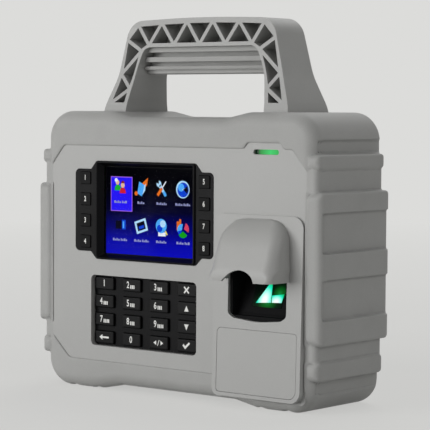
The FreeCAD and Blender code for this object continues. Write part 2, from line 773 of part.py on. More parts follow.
def keypad_key(x, z):
    """Cap, stop flange behind the plate, stem to its dome."""
    top, stop = plate_front - key_proud, plate_rear + rest_gap
    cap = front_rounded(prism(key_outline(x, z, 0), "y", top, stop + 0.2), top, 0.7)
    flange = prism(key_outline(x, z, 0.8), "y", stop, stop + 0.5)
    stem = rod_y(1.6, x, z, stop + 0.2, mat_front - key_travel - rest_gap)
    return cap.fuse([flange, stem]).removeSplitter()


def key_mat():
    """Silicone sheet on the front board, with a round dome wall about each key's stem."""
    edge = rect(keypad_left + 1, keypad_right - 1, keypad_low + 1, keypad_high - 1, 2)
    sheet = prism(edge, "y", mat_front, board_y)
    top = plate_rear + rest_gap + 0.5 + key_travel + rest_gap
    rings = [
        rod_y(3.2, x, z, top, mat_front + 0.1).cut(rod_y(2.3, x, z, top - 1, board_y)) for _, x, z in key_spots()
    ]
    return sheet.fuse(rings).removeSplitter()


def front_board():
    """Board behind the display and the keypad."""
    left, step = wing_left_x - 1, keypad_right + 9.5
    right, low, high = wing_right_x + 3.2, keypad_low - 2, wing_high + 13.4
    ledge = wing_low - 3
    shape = [(left, low, 2), (step, low, 2), (step, ledge, 2), (right, ledge, 2), (right, high, 2), (left, high, 2)]
    board = prism(shape, "y", board_y, board_y + board_thickness)
    return board.cut([rod_y(1.3, x, z, front_y, mid_y) for x, z in stand_spots()])


def board_screws():
    """Small screws: four hold the front board, four hold the main board."""
    shaft, rear = small_screw_radius - 0.1, board_y + board_thickness
    made = []
    for x, z in stand_spots():
        screw = rod_y(shaft, x, z, board_y - 4.5, rear).fuse(rod_y(2.0, x, z, rear, rear + 1.4))
        made.append(screw.removeSplitter())
    for x, z in main_stands():
        body = rod_y(shaft, x, z, main_board_y, main_board_y + 7)
        made.append(body.fuse(rod_y(2.0, x, z, main_board_y - 1.4, main_board_y)).removeSplitter())
    return made


# ---------------------------------------------------------------- fingerprint sensor
def hood_section(rise, inset):
    """The hood's outline in plan at a share of its height; inset moves its outside in and its back out."""
    z = hood_low + rise * hood_height
    shoulder = max(0.0, z - hood_high + hood_shoulder)
    half = hood_width / 2 - hood_taper * rise - inset
    half -= hood_shoulder - math.sqrt(hood_shoulder ** 2 - shoulder ** 2)
    reach = hood_reach * (1 - 0.54 * rise - 0.36 * max(rise, 0) ** 6) - inset
    edge = min(hood_edge - inset, 0.75 * reach)
    corners = [
        (sensor_x - half, front_y + inset), (sensor_x - half, front_y - reach, edge),
        (sensor_x + half, front_y - reach, edge), (sensor_x + half, front_y + inset),
    ]
    return outline(corners, "z", z)


def hood_block(inset, rises):
    """The hood as a solid block through its outlines at those shares of its height."""
    return Part.makeLoft([hood_section(rise, inset) for rise in rises], True, False)


def card_outline(gap):
    left, right, low, high = card_left - gap, card_right + gap, card_low - gap, card_high + gap
    return [(left, low, 2), (right, low, 5), (right, high, 2), (left, high, 3)]


def panel_face_y(z):
    """The sloping front face of the sensor panel at height z."""
    along = (z - panel_low) / (panel_high - panel_low)
    return front_y - panel_low_proud + (panel_low_proud - panel_top_proud) * along


def sensor_panel():
    """Raised panel with the finger hood, a hole for the well and a tray for the card cover."""
    wedge = [
        (panel_face_y(panel_low), panel_low), (front_y, panel_low), (front_y, panel_high),
        (panel_face_y(panel_high), panel_high),
    ]
    face = [
        (panel_left, panel_low, 4), (panel_right, panel_low, 7), (panel_right, panel_high, 7),
        (panel_left, panel_high, 5),
    ]
    plate = prism(wedge, "x", panel_left, panel_right).common(prism(face, "y", front_y - 20, front_y + 5))
    hood = hood_block(0, [0, 0.18, 0.36, 0.53, 0.66, 0.76, 0.85, 0.92, 0.97, 1])
    hollow = hood_block(hood_wall, [-0.1, 0, 0.18, 0.36, 0.53, 0.66])
    arch_middle = hood_low - thumb_arch_radius / 2
    thumb_arch = rod_y(thumb_arch_radius, sensor_x, arch_middle, front_y - 2 * hood_reach, front_y - 8)
    tray = prism(card_outline(fit_gap), "y", front_y - 20, front_y - 1.4)
    mouth = prism(cavity_outline(), "y", front_y - hood_wall - 4, front_y + 5)
    return plate.fuse(hood).cut([hollow, mouth, thumb_arch, tray]).removeSplitter()


def card_cover():
    """Plate over the card reader, its face in line with the panel's."""
    side = [
        (panel_face_y(card_low), card_low), (front_y - 1.4, card_low), (front_y - 1.4, card_high),
        (panel_face_y(card_high), card_high),
    ]
    wedge = prism(side, "x", panel_left, panel_right)
    return wedge.common(prism(card_outline(0), "y", front_y - 20, front_y + 5))


def sloping_plate(gap, lift):
    """The sensor glass in its tilted place, grown by gap; lift moves it out of the slope."""
    width, thick, long = sensor_glass_width + gap, sensor_glass_thickness + gap, sensor_glass_length + gap
    plate = Part.makeBox(width, thick, long, FreeCAD.Vector(-width / 2, -lift, -long / 2))
    plate.rotate(FreeCAD.Vector(0, 0, 0), FreeCAD.Vector(1, 0, 0), -glass_tilt)
    plate.translate(FreeCAD.Vector(sensor_x, slope_y, slope_z))
    return plate


def sensor_well():
    """Black insert: a finger well whose back wall slopes and carries the glass; a flange holds it."""
    rise = math.tan(math.radians(glass_tilt))
    foot_z, floor_z, head_z = cavity_low + 4, cavity_low + 2.4, cavity_high - 2.4
    foot_y = slope_y - (slope_z - foot_z) * rise
    head_y = well_back - 1.6
    inside = [
        (front_y - 9, floor_z), (foot_y - 1, floor_z), (foot_y, foot_z),
        (head_y, slope_z + (head_y - slope_y) / rise),
        (head_y, head_z), (front_y - 9, head_z),
    ]
    half = cavity_half - well_wall
    body = grown_prism(cavity_outline(), -fit_gap, front_y - 0.6, well_back)
    body = body.fuse(grown_prism(cavity_outline(), 2.4, plate_back, plate_back + 1.5))
    window = centred(sensor_x, slope_z, sensor_glass_width / 2 - 2, sensor_glass_length / 2 - 3.5, 1)
    cuts = [
        prism(inside, "x", sensor_x - half, sensor_x + half), sloping_plate(0.2, 0.4),
        prism(window, "y", slope_y, well_back + 1),
    ]
    return body.cut(cuts).removeSplitter()


def sensor_module():
    """Optics behind the well: a dark box and the camera's barrel."""
    case = rect(sensor_x - 17, sensor_x + 17, cavity_low + 3, cavity_high - 4, 2)
    barrel = rod_y(7.0, sensor_x, (cavity_low + cavity_high) / 2, well_back + 9, well_back + 13)
    return prism(case, "y", well_back, well_back + 9).fuse(barrel).removeSplitter()


def sensor_board():
    y0 = well_back + 13
    edge = rect(sensor_x - 19, sensor_x + 19, cavity_low - 1, cavity_high, 1.5)
    board = prism(edge, "y", y0, y0 + board_thickness)
    y1 = y0 + board_thickness
    chip = block(sensor_x - 6, sensor_x + 6, y1, y1 + 1.2, cavity_low + 7, cavity_low + 19)
    return board.fuse(chip).removeSplitter()


def card_antenna():
    """Flat coil for the card reader, behind the front plate."""
    x0, x1, z0, z1 = card_left + 4, card_right - 13, card_high - 22, card_high
    coil = prism(rect(x0, x1, z0, z1, 3), "y", plate_back, plate_back + 1)
    return coil.cut(prism(rect(x0 + 6, x1 - 6, z0 + 6, z1 - 6, 2), "y", plate_back - 1, plate_back + 2))


# ---------------------------------------------------------------- indicator
def light_pipe():
    """Clear bar in the plate's slot, with a flange behind it."""
    lens = prism(lamp_outline(), "y", front_y + lamp_recess, plate_back)
    return lens.fuse(grown_prism(lamp_outline(), 1.2, plate_back, plate_back + 1.5)).removeSplitter()


def indicator_board():
    y0 = plate_back + 1.5
    board = prism(rect(lamp_x - 10, lamp_x + 10, lamp_z - 4, lamp_z + 3, 1), "y", y0 + 1, y0 + 2.2)
    lamps = [block(x - 1.2, x + 1.2, y0, y0 + 1, lamp_z - 1, lamp_z + 1) for x in (lamp_x - 6, lamp_x, lamp_x + 6)]
    return board.fuse(lamps).removeSplitter()


# ---------------------------------------------------------------- power and main board
def battery_pack():
    half, high = battery_width / 2, battery_low + battery_height
    pack = prism(rect(-half, half, battery_low, high, 3), "y", battery_front, battery_front + battery_thickness)
    contact = block(half - 14, half - 4, battery_front + 4, battery_front + 8, battery_low - 0.4, battery_low + 1)
    return pack.fuse(contact).removeSplitter()


def battery_door():
    """Flat door with finger ribs, and a pad behind it that holds the pack."""
    y0, y1 = panel_rear - door_thickness, panel_rear
    half = door_half_w - fit_gap
    door = prism(rect(-half, half, door_low + fit_gap, door_high - fit_gap, 0.5), "y", y0, y1)
    pad = rect(-battery_width / 2 + 10, battery_width / 2 - 10, door_low + 16, door_high - 16, 2)
    added = [prism(pad, "y", battery_front + battery_thickness + 0.1, y0)]
    added += [prism(centred(0, door_high - 9 - 5 * i, 30, 1.2, 1.1), "y", y1 - 0.1, y1 + 0.6) for i in range(3)]
    cuts = []
    for x, z in door_screw_spots():
        cuts.append(rod_y(small_screw_radius + 0.3, x, z, y0 - 1, y1 + 1))
        cuts.append(rod_y(2.5, x, z, y1 - 1.2, y1 + 1))
    return door.fuse(added).cut(cuts).removeSplitter()


def battery_door_screws():
    made, seat = [], panel_rear - 1.2
    for x, z in door_screw_spots():
        screw = rod_y(small_screw_radius - 0.1, x, z, panel_rear - 7, seat)
        screw = screw.fuse(rod_y(2.3, x, z, seat, seat + 1.1))
        made.append(screw.cut(prism(centred(x, z, 1.7, 0.3), "y", seat + 0.5, seat + 2)).removeSplitter())
    return made


def main_board():
    low, high = window_low - 4, bay_high + 19
    shape = [(-79, low + 12, 2), (-70, low, 2), (70, low, 2), (79, low + 12, 2), (79, high, 2), (-79, high, 2)]
    board = prism(shape, "y", main_board_y, main_board_rear)
    return board.cut([rod_y(1.3, x, z, mid_y, rear_y) for x, z in main_stands()])


def main_board_parts():
    """Processor can, memory, radio module, clock cell, battery socket and ribbon socket."""
    front, rear, low = main_board_y, main_board_rear, window_low
    return [
        block(-20, 4, front - 2.4, front, low + 22, low + 44),
        block(12, 26, front - 1.2, front, low + 26, low + 42),
        block(-66, -36, rear, rear + 2.6, low + 12, low + 34), rod_y(8.0, 56, low + 30, rear, rear + 3.4),
        block(34, 44, rear, rear + 5, low + 38, low + 46),
        block(-52, -30, front - 2, front, low + 38, low + 43),
    ]


def speaker():
    back = case_rear - case_wall
    rim = rod_y(speaker_radius, speaker_x, speaker_z, back - 2.5, back)
    return rim.fuse(rod_y(8.0, speaker_x, speaker_z, back - 6.5, back - 2.5)).removeSplitter()


def rj45_jack():
    body = block(rj45_x - 8, rj45_x + 8, main_board_rear, bay_floor, port_z - 6.7, port_z + 6.7)
    mouth = block(rj45_x - 5.9, rj45_x + 5.9, bay_floor - 11, bay_floor + 1, port_z - 3.6, port_z + 4.6)
    latch = block(rj45_x - 3, rj45_x + 3, bay_floor - 11, bay_floor + 1, port_z - 5.4, port_z - 3.5)
    return body.cut([mouth, latch]).removeSplitter()


def usb_jack():
    body = block(usb_x - 7.2, usb_x + 7.2, main_board_rear, bay_floor, port_z - 3.4, port_z + 3.4)
    mouth = block(usb_x - 6.25, usb_x + 6.25, bay_floor - 9, bay_floor + 1, port_z - 2.56, port_z + 2.56)
    tongue = block(usb_x - 5.4, usb_x + 5.4, bay_floor - 9.5, bay_floor - 0.8, port_z + 0.2, port_z + 2)
    return body.cut(mouth).fuse(tongue).removeSplitter()


def dc_jack():
    body = block(dc_x - 4.9, dc_x + 4.9, main_board_rear, bay_floor, port_z - 5.4, port_z + 5.4)
    bore = rod_y(3.1, dc_x, port_z, bay_floor - 10, bay_floor + 1)
    return body.cut(bore).fuse(rod_y(1.0, dc_x, port_z, bay_floor - 10.5, bay_floor - 1.5)).removeSplitter()


def port_flap():
    """Cover of the port bay: it hangs on two trunnions at its top edge, with a plug rim behind."""
    half, low, y0 = bay_half - flap_gap, bay_low + 2 * flap_gap, flap_axis_y
    reach = half + trunnion_length
    barrel = rod(barrel_radius, (-half, y0, flap_axis_z), (half, y0, flap_axis_z))
    plate = block(-half, half, y0, y0 + barrel_radius, low, flap_axis_z)
    pins = rod(trunnion_radius, (-reach, y0, flap_axis_z), (reach, y0, flap_axis_z))
    rim = prism(rect(-half + 1.2, half - 1.2, low + 1.6, flap_axis_z - 4, 2), "y", y0 - 1.6, y0 + 0.5)
    rim = rim.cut(prism(rect(-half + 2.8, half - 2.8, low + 3.2, flap_axis_z - 5.6, 1.5), "y", y0 - 3, y0))
    pull = prism(rect(-8, 8, low + 1.2, low + 3, 0.8), "y", y0 + barrel_radius - 0.1, y0 + barrel_radius + 0.8)
    return barrel.fuse([plate, pins, rim, pull]).removeSplitter()


# ---------------------------------------------------------------- build
os.makedirs("parts", exist_ok=True)
makers = [
    rubber_armour, handle_arch, handle_grip, handle_screws, front_shell, rear_shell, case_seal, case_screws,
    display_bezel, display_glass, lcd_module, function_key_switches, keypad_plate, key_mat, front_board,
    board_screws, sensor_panel, card_cover, sensor_well, sensor_module, sensor_board, card_antenna, light_pipe,
    indicator_board, battery_pack, battery_door, battery_door_screws, main_board, main_board_parts, speaker,
    rj45_jack, usb_jack, dc_jack, port_flap,
]
for maker in makers:
    save(maker.__name__, maker())
save("sensor_prism", sloping_plate(0, 0.3))
for name, x, z in key_spots():
    save(name, keypad_key(x, z))
for name, x, z in fkey_spots():
    save(name, function_key(x, z))
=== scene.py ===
import math

import bpy
from mathutils import Matrix, Vector


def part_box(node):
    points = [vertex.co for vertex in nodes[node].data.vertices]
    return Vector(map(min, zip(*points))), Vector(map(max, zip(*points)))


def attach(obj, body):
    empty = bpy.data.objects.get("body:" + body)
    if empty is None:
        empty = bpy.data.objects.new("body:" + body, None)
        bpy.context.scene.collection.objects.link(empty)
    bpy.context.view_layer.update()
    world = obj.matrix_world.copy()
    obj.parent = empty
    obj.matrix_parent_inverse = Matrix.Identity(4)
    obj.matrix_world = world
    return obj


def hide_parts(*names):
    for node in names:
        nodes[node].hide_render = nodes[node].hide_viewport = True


# Looks of the portable fingerprint terminal. Metres, in the frame of its CAD: +X to the viewer's right,
# +Y to the rear, +Z up, standing on Z 0.

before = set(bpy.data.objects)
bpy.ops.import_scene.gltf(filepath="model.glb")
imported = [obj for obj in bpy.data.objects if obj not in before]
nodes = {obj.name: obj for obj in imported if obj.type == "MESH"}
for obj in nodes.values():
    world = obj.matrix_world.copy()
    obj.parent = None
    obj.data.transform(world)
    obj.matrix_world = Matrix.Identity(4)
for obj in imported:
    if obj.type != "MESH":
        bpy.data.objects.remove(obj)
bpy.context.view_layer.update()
mm = 0.001
BODY = "terminal"


# ---------------------------------------------------------------- camera, floor and light
def place_camera():
    """Long lens at eye height, forty degrees round to the right of the front."""
    yaw, pitch, roll = math.radians(39.67), math.radians(3.14), math.radians(0.287)
    target, distance = Vector((0.0322, -0.0225, 0.11025)), 1.1421
    back = Vector((math.sin(yaw) * math.cos(pitch), -math.cos(yaw) * math.cos(pitch), math.sin(pitch)))
    camera = bpy.data.objects.new("camera", bpy.data.cameras.new("camera"))
    camera.data.sensor_width = 36
    camera.data.lens = 165.27
    camera.data.clip_start, camera.data.clip_end = 0.05, 20
    camera.matrix_world = (
        Matrix.Translation(target + back * distance)
        @ (-back).to_track_quat("-Z", "Y").to_matrix().to_4x4()
        @ Matrix.Rotation(roll, 4, "Z")
    )
    bpy.context.scene.collection.objects.link(camera)
    bpy.context.scene.camera = camera


def add_lamp(name, place, size, power, aim=(0, 0, 0.1)):
    lamp = bpy.data.objects.new(name, bpy.data.lights.new(name, "AREA"))
    lamp.data.shape = "RECTANGLE"
    lamp.data.size, lamp.data.size_y = size
    lamp.data.energy = power
    lamp.location = place
    lamp.rotation_euler = (Vector(aim) - Vector(place)).to_track_quat("-Z", "Y").to_euler()
    bpy.context.scene.collection.objects.link(lamp)


def linear(code):
    """An sRGB hex colour as linear red, green, blue and alpha."""
    shares = [int(code[i:i + 2], 16) / 255 for i in (0, 2, 4)]
    return [c / 12.92 if c <= 0.04045 else ((c + 0.055) / 1.055) ** 2.4 for c in shares] + [1.0]


def add(tree, kind, settings=None, links=None, stops=(), **properties):
    """One shader node with its properties, its socket values and what feeds it.
    The stops of a colour ramp are (place, hex)."""
    node = tree.nodes.new("ShaderNode" + kind)
    for name, value in properties.items():
        setattr(node, name, value)
    for socket, value in (settings or {}).items():
        node.inputs[socket].default_value = value
    for socket, source in (links or {}).items():
        tree.links.new(source, node.inputs[socket])
    for index, (place, code) in enumerate(stops):
        points = node.color_ramp.elements
        point = points[index] if index < 2 else points.new(place)
        point.position, point.color = place, linear(code)
    return node


def new_tree(data):
    data.use_nodes = True
    data.node_tree.nodes.clear()
    return data.node_tree


def start_material(name):
    """A new material, its empty node tree and its Object coordinates."""
    material = bpy.data.materials.new(name)
    tree = new_tree(material)
    return material, tree, add(tree, "TexCoord").outputs["Object"]


def seen_directly(tree):
    """1 for what the camera sees straight, in a gloss or through glass."""
    path = add(tree, "LightPath")
    seen = path.outputs["Is Camera Ray"]
    for kind in ("Is Glossy Ray", "Is Transmission Ray"):
        seen = add(tree, "Math", links={0: seen, 1: path.outputs[kind]}, operation="MAXIMUM").outputs[0]
    return seen


def make_world():
    """Soft grey light all round, seen as a pale backdrop."""
    world = bpy.data.worlds.new("studio")
    bpy.context.scene.world = world
    tree = new_tree(world)
    light = add(tree, "Background", {"Color": linear("e6e6e6"), "Strength": 0.25})
    backdrop = add(tree, "Background", {"Color": linear("dcdcda"), "Strength": 1.0})
    seen = seen_directly(tree)
    mixed = add(tree, "MixShader", links={0: seen, 1: light.outputs[0], 2: backdrop.outputs[0]})
    add(tree, "OutputWorld", links={"Surface": mixed.outputs[0]})


place_camera()
add_lamp("key_light", (-0.75, -1.7, 0.5), (1.3, 1.3), 21.5)
add_lamp("low_fill", (-0.8, -1.1, 0.12), (0.4, 0.4), 3.2)
add_lamp("side_fill", (1.6, -0.2, 0.8), (0.9, 0.9), 4.2)
add_lamp("top_light", (-0.3, 1.2, 1.8), (1.4, 1.4), 14)
make_world()
bpy.context.scene.view_settings.view_transform = "Standard"


# ---------------------------------------------------------------- finishes
def moulded(
    name, dark, light, grain, relief, rough, spread=0.06, patch=22.0, edge=None, painted_crease_shade=None, settings=None
):
    """A moulded surface: colour drifting between two shades over patches, a fine grain in relief, uneven
    gloss. grain and patch are in millimetres, relief in millimetres of height; edge is the shade of rubbed
    corners; the crease colour is painted shade, laid into hollow corners where shade would fall."""
    material, tree, place = start_material(name)
    over = {"Vector": place}
    drift = add(tree, "TexNoise", {"Scale": 1 / (patch * mm), "Detail": 3.0, "Roughness": 0.55}, over)
    pits = add(tree, "TexNoise", {"Scale": 1 / (grain * mm), "Detail": 2.0, "Roughness": 0.5}, over)
    blend = add(tree, "Math", {1: 0.35}, {0: pits.outputs["Fac"]}, operation="MULTIPLY")
    blend = add(
        tree, "Math", {1: 0.65}, {0: drift.outputs["Fac"], 2: blend.outputs[0]}, operation="MULTIPLY_ADD"
    )
    colour = add(tree, "ValToRGB", links={0: blend.outputs[0]}, stops=[(0.3, dark), (0.7, light)])
    colour = colour.outputs["Color"]
    # Rubbed convex corners turn lighter; hollow corners take the crease colour as painted shade, darker where
    # shade would fall.
    for shade, start, end, most in ((edge, 0.53, 0.62, 0.6), (painted_crease_shade, 0.49, 0.44, 0.8)):
        if shade:
            bend = add(tree, "NewGeometry").outputs["Pointiness"]
            limits = {"From Min": start, "From Max": end, "To Max": most}
            share = add(tree, "MapRange", limits, {"Value": bend}).outputs[0]
            mixed = add(tree, "MixRGB", {"Color2": linear(shade)}, {"Fac": share, "Color1": colour})
            colour = mixed.outputs[0]
    gloss = add(
        tree, "MapRange",
        {"From Min": 0.3, "From Max": 0.7, "To Min": rough - spread, "To Max": rough + spread},
        {"Value": blend.outputs[0]},
    )
    bump = add(tree, "Bump", {"Strength": 1.0, "Distance": relief * mm}, {"Height": pits.outputs["Fac"]})
    shader = add(
        tree, "BsdfPrincipled", settings,
        {"Base Color": colour, "Roughness": gloss.outputs[0], "Normal": bump.outputs[0]},
    )
    add(tree, "OutputMaterial", links={"Surface": shader.outputs[0]})
    return material


def lit(name, code, deeper=None):
    """Liquid-crystal display, lit from behind: one colour drifting towards a deeper one. Its cells are
    0.22 mm apart, too fine to show, so the drift is drawn at 0.5 mm."""
    material, tree, place = start_material(name)
    cells = add(tree, "TexNoise", {"Scale": 1 / (0.5 * mm), "Detail": 1.0}, {"Vector": place})
    stops = [(0.25, deeper or code), (0.6, code)]
    colour = add(tree, "ValToRGB", links={0: cells.outputs["Fac"]}, stops=stops)
    shader = add(
        tree, "BsdfPrincipled",
        {"Base Color": linear("020203"), "Roughness": 0.4, "Specular IOR Level": 0, "Emission Strength": 1},
        {"Emission Color": colour.outputs["Color"]},
    )
    add(tree, "OutputMaterial", links={"Surface": shader.outputs[0]})
    return material


def coated_glass(name, tint, rough):
    """Thin cover glass with an anti-reflection coating and faint smears: little but a soft, uneven gloss."""
    material, tree, place = start_material(name)
    pattern = {"Scale": 1 / (14 * mm), "Detail": 4.0, "Distortion": 0.6}
    smears = add(tree, "TexNoise", pattern, {"Vector": place})
    gloss = add(tree, "MapRange", {"To Min": rough, "To Max": rough + 0.08}, {"Value": smears.outputs["Fac"]})
    shader = add(
        tree, "BsdfPrincipled", {"Base Color": linear(tint), "Alpha": 0.03, "Specular IOR Level": 0.1},
        {"Roughness": gloss.outputs[0]},
    )
    add(tree, "OutputMaterial", links={"Surface": shader.outputs[0]})
    return material


def prism_glow(name, shades, spots, base):
    """Prism glass over a green lamp: its light fades through those shades with the distance from each spot.
    A spot is (x, z, reach along x, reach along z), in millimetres from the prism's middle."""
    material, tree, place = start_material(name)
    total = None
    for x, z, reach_x, reach_z in spots:
        middle, reach = prism + Vector((x, 0, z)) * mm, (reach_x * mm, 1, reach_z * mm)
        moved = add(
            tree, "Mapping", {"Location": middle, "Scale": reach}, {"Vector": place}, vector_type="TEXTURE"
        )
        fade = add(tree, "TexGradient", links={0: moved.outputs[0]}, gradient_type="SPHERICAL").outputs["Fac"]
        if total is None:
            total = fade
        else:
            total = add(tree, "Math", links={0: total, 1: fade}, operation="MAXIMUM").outputs[0]
    colour = add(tree, "ValToRGB", links={0: total}, stops=shades)
    shader = add(
        tree, "BsdfPrincipled",
        {"Base Color": linear(base), "Roughness": 0.3, "Specular IOR Level": 0.04, "Emission Strength": 1},
        {"Emission Color": colour.outputs["Color"]},
    )
    add(tree, "OutputMaterial", links={"Surface": shader.outputs[0]})
    return material


def lamp_lens():
    """Clear polycarbonate bar over a green lamp, with painted shade darkening its left end where the wall of
    its recess would shade it.
    """
    material, tree, place = start_material("polycarbonate_lens_lit")
    along = add(tree, "SeparateXYZ", links={0: place}).outputs["X"]
    low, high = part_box("light_pipe")
    end = 1.2 * mm
    share = add(tree, "MapRange", {"From Min": low.x + end, "From Max": high.x - end}, {"Value": along})
    # Painted shade: the ramp starts near black at the left end, where the recess wall would shade the lens.
    colour = add(
        tree, "ValToRGB", links={0: share.outputs[0]},
        stops=[(0.1, "02180a"), (0.22, "0c9a34"), (0.6, "28d868"), (0.97, "12b044")],
    )
    shader = add(
        tree, "BsdfPrincipled",
        {"Base Color": linear("0a2c16"), "Roughness": 0.3, "Specular IOR Level": 0.1,
         "Emission Strength": 0.8},
        {"Emission Color": colour.outputs["Color"]},
    )
    add(tree, "OutputMaterial", links={"Surface": shader.outputs[0]})
    return material


def screen_picture():
    """The display's background: black at the top, deepening blue to the bottom."""
    material, tree, place = start_material("lit_display_background")
    up = add(tree, "SeparateXYZ", links={0: place}).outputs["Z"]
    half = screen_half_z * mm
    share = add(tree, "MapRange", {"From Min": screen.z - half, "From Max": screen.z + half}, {"Value": up})
    colour = add(
        tree, "ValToRGB", links={0: share.outputs[0]},
        stops=[
            (0.0, "0c0ebc"), (0.14, "0a0ba6"), (0.3, "06076a"), (0.5, "030326"), (0.75, "020207"),
            (1.0, "020204"),
        ],
    )
    shader = add(
        tree, "BsdfPrincipled",
        {"Base Color": linear("010102"), "Roughness": 0.4, "Specular IOR Level": 0, "Emission Strength": 1},
        {"Emission Color": colour.outputs["Color"]},
    )
    add(tree, "OutputMaterial", links={"Surface": shader.outputs[0]})
    return material


def brushed_steel():
    """Zinc-plated steel: bright, with fine drawn lines that stretch its highlights."""
    material, tree, place = start_material("zinc_plated_steel")
    drawn = add(tree, "Mapping", {"Scale": (1, 1, 14)}, {"Vector": place})
    lines = add(tree, "TexNoise", {"Scale": 1 / (1.5 * mm), "Detail": 3.0}, {"Vector": drawn.outputs[0]})
    colour = add(tree, "ValToRGB", links={0: lines.outputs["Fac"]}, stops=[(0.3, "a4a7aa"), (0.7, "c4c7ca")])
    gloss = add(tree, "MapRange", {"To Min": 0.22, "To Max": 0.42}, {"Value": lines.outputs["Fac"]})
    bump = add(tree, "Bump", {"Distance": 0.02 * mm}, {"Height": lines.outputs["Fac"]})
    shader = add(
        tree, "BsdfPrincipled", {"Metallic": 1.0},
        {"Base Color": colour.outputs["Color"], "Roughness": gloss.outputs[0], "Normal": bump.outputs[0]},
    )
    add(tree, "OutputMaterial", links={"Surface": shader.outputs[0]})
    return material


def circuit_board():
    """Green solder mask over copper: tracks show as a lighter grid under the lacquer."""
    material, tree, place = start_material("solder_mask_board")
    turned = add(tree, "Mapping", {"Rotation": (math.pi / 2, 0, 0)}, {"Vector": place})
    tracks = add(
        tree, "TexBrick",
        {"Color1": linear("1f5a36"), "Color2": linear("1a4e2f"), "Mortar": linear("2f7a4a"), "Scale": 1.0,
         "Mortar Size": 0.4 * mm, "Brick Width": 6 * mm, "Row Height": 2.5 * mm},
        {"Vector": turned.outputs[0]},
    )
    lacquer = {"Roughness": 0.32, "Coat Weight": 0.4}
    shader = add(tree, "BsdfPrincipled", lacquer, {"Base Color": tracks.outputs["Color"]})
    add(tree, "OutputMaterial", links={"Surface": shader.outputs[0]})
    return material


prism = sum(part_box("sensor_prism"), Vector()) / 2
screen_low, screen_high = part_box("display_glass")
screen = (screen_low + screen_high) / 2
screen_half_x, screen_half_z = 35.05, 26.3

finishes = {
    # Thermoplastic rubber, moulded in a spark-eroded tool: matt, with soft highlights and rubbed corners, and
    #     painted shade darkening its creases.
    "sleeve_rubber": moulded(
        "thermoplastic_rubber", "9c9c9a", "a6a6a4", 0.9, 0.035, 0.62, edge="b0b0ae", painted_crease_shade="4c4c4a",
        settings={"Sheen Weight": 0.08},
    ),
    # ABS moulding with a fine texture: a little smoother and lighter than the rubber round it.
    "case_plastic": moulded("textured_abs", "a2a2a0", "a8a8a6", 0.6, 0.012, 0.48),
    # Glass-filled nylon: the same grey, with a slightly drier surface.
    "handle_plastic": moulded("filled_nylon", "9e9e9c", "a7a7a5", 0.8, 0.02, 0.52, edge="b0b0ae"),
    # Softer rubber of the grip: matt and a shade darker.
    "grip_rubber": moulded(
        "soft_grip_rubber", "9c9c9a", "a5a5a3", 0.9, 0.03, 0.68, settings={"Sheen Weight": 0.1}
    ),
    # Black ABS: deep black with a satin gloss.
    "black_plastic": moulded(
        "black_abs", "050506", "08080a", 0.5, 0.01, 0.42, settings={"Specular IOR Level": 0.08}
    ),
    # Black ABS of the finger well, moulded matt so that it throws no light on the glass.
    "well_plastic": moulded(
        "matt_black_abs", "08080a", "0d0d0e", 0.6, 0.02, 0.75, settings={"Specular IOR Level": 0.12}
    ),
    # Key caps, satin black ABS: slightly worn smooth.
    "key_plastic": moulded(
        "satin_key_abs", "060607", "0a0a0b", 0.5, 0.012, 0.42, patch=7, settings={"Specular IOR Level": 0.1}
    ),
    # Function keys in silicone rubber: dead matt black.
    "function_key_rubber": moulded(
        "matt_key_silicone", "0a0a0b", "0e0e0f", 0.6, 0.02, 0.6, settings={"Specular IOR Level": 0.1}
    ),
    "screen_glass": coated_glass("coated_cover_glass", "08090c", 0.05),
    # Coated back of the prism: black, with the lamp's green spilling over its lower half.
    "sensor_glass": prism_glow(
        "borosilicate_prism", [(0.0, "020504"), (0.35, "03200a"), (0.7, "0a5c1c"), (1.0, "12803a")],
        [(0.5, -7.093, 11, 8), (7.5, -2.093, 8, 7)], "040a06",
    ),
    "lamp_green": lamp_lens(),
    "steel": brushed_steel(),
    "circuit_board": circuit_board(),
    # Chips, transducers and switches in moulded epoxy: dull black with a fine pitted face.
    "chip_black": moulded("moulded_epoxy", "1d1e21", "27282b", 0.4, 0.015, 0.55),
    # Silicone of the key mat and the case seal: dull grey, slightly waxy.
    "silicone": moulded(
        "translucent_silicone", "54565a", "626468", 1.2, 0.015, 0.5, settings={"Subsurface Weight": 0.05}
    ),
    # Shrink sleeve of the battery: glossy, with soft ripples where it has shrunk.
    "battery_wrap": moulded("pvc_shrink_sleeve", "26303b", "303b48", 3.5, 0.12, 0.28),
}
# White ink printed on the caps: a matt, slightly uneven film.
ink = moulded("white_screen_ink", "dcdcd8", "efefec", 0.5, 0.01, 0.55, patch=3)
for node in nodes.values():
    node.data.materials[0] = finishes[node.data.materials[0].name]
for name in ("sensor_well", "sensor_module"):
    nodes[name].data.materials[0] = finishes["well_plastic"]


# ---------------------------------------------------------------- how pieces are made
def activate(piece):
    bpy.ops.object.select_all(action="DESELECT")
    piece.select_set(True)
    bpy.context.view_layer.objects.active = piece


def keep(piece, finish, body=BODY, replaces=()):
    """Gives a finished piece its material and the body it rides on."""
    if finish:
        piece.data.materials.clear()
        piece.data.materials.append(finish)
    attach(piece, body)
    if replaces:
        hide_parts(*replaces)
    return piece


def merged_copy(node, flat=0.0):
    """The node's shape as one closed mesh, with faces that lie within flat degrees of each other joined."""
    piece = bpy.data.objects.new(node + "_moulding", nodes[node].data.copy())
    bpy.context.scene.collection.objects.link(piece)
    activate(piece)
    bpy.ops.mesh.customdata_custom_splitnormals_clear()
    bpy.ops.object.mode_set(mode="EDIT")
    bpy.ops.mesh.select_all(action="SELECT")
    bpy.ops.mesh.remove_doubles(threshold=0.001 * mm)
    if flat:
        bpy.ops.mesh.dissolve_limited(angle_limit=math.radians(flat))
    bpy.ops.object.mode_set(mode="OBJECT")
    return piece


